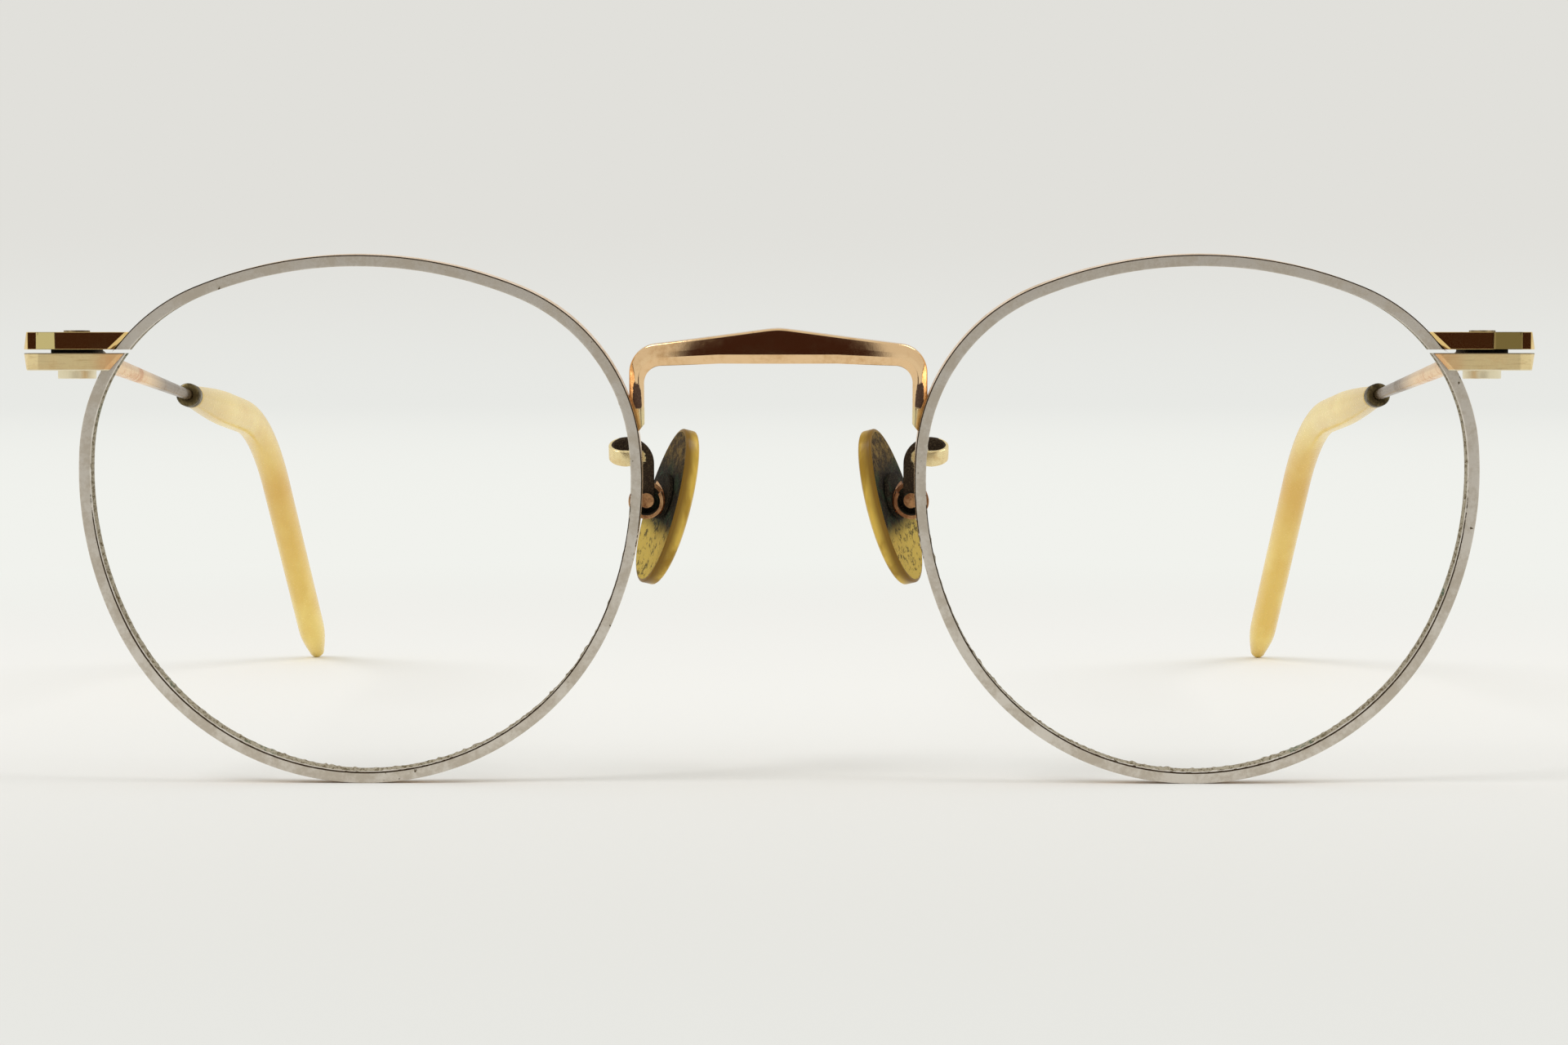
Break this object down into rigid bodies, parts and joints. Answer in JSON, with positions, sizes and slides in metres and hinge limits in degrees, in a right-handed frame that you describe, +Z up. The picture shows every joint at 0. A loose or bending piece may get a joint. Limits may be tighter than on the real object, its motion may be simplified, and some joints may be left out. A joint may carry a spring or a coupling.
{
  "type": "eyeglass frame",
  "caption": "Panto eyeglass frame with flat-faced rims, a peaked bridge, split endpieces on the hinge screws, rocking nose pads and wire temples with bent tips.",
  "frame": {"origin": "middle of the part's width and depth, on the table that the rims and the tips rest on", "axes": "+X to the wearer's left, -Y the way the front faces, +Z up; +Z is also across the part's least extent"},
  "size_m": [0.126, 0.1248, 0.0447],
  "materials": {
    "nickel_silver": "satin, a little tarnished",
    "yellow_gold": "brushed, worn gold plating",
    "rose_gold": "polished, worn gold plating",
    "screw_steel": "tarnished",
    "dark_brass": "dark tarnish",
    "amber_celluloid": "gloss, clear amber",
    "honey_celluloid": "gloss, honey, paler at the front"
  },
  "bodies": {
    "front": {"right_rim": "nickel_silver", "left_rim": "nickel_silver", "bridge": "rose_gold", "right_upper_endpiece": "yellow_gold", "left_upper_endpiece": "yellow_gold", "right_lower_endpiece": "yellow_gold", "left_lower_endpiece": "yellow_gold", "right_hinge_screw": "screw_steel", "left_hinge_screw": "screw_steel", "right_pad_arm": "yellow_gold", "left_pad_arm": "yellow_gold"},
    "right_temple": {"right_hinge_tongue": "yellow_gold", "right_temple_wire": "yellow_gold", "right_ferrule": "dark_brass", "right_temple_tip": "honey_celluloid"},
    "left_temple": {"left_hinge_tongue": "yellow_gold", "left_temple_wire": "yellow_gold", "left_ferrule": "dark_brass", "left_temple_tip": "honey_celluloid"},
    "right_pad": {"right_pad_box": "yellow_gold", "right_pad_pin": "screw_steel", "right_nose_pad": "amber_celluloid"},
    "left_pad": {"left_pad_box": "yellow_gold", "left_pad_pin": "screw_steel", "left_nose_pad": "amber_celluloid"}
  },
  "joints": [
    {"name": "right_temple_fold", "type": "hinge", "parent": "front", "child": "right_temple", "pos_m": [-0.05922, -0.05773, 0.03657], "axis": [0, 0, -1], "range_deg": [0, 81]},
    {"name": "left_temple_fold", "type": "hinge", "parent": "front", "child": "left_temple", "pos_m": [0.05922, -0.05773, 0.03657], "axis": [0, 0, 1], "range_deg": [0, 71]},
    {"name": "right_pad_rock", "type": "hinge", "parent": "front", "child": "right_pad", "pos_m": [-0.01125, -0.05547, 0.02395], "axis": [0, 0.9962, 0.0872], "range_deg": [-8, 8]},
    {"name": "left_pad_rock", "type": "hinge", "parent": "front", "child": "left_pad", "pos_m": [0.01125, -0.05547, 0.02395], "axis": [0, 0.9962, 0.0872], "range_deg": [-8, 8]}
  ]
}
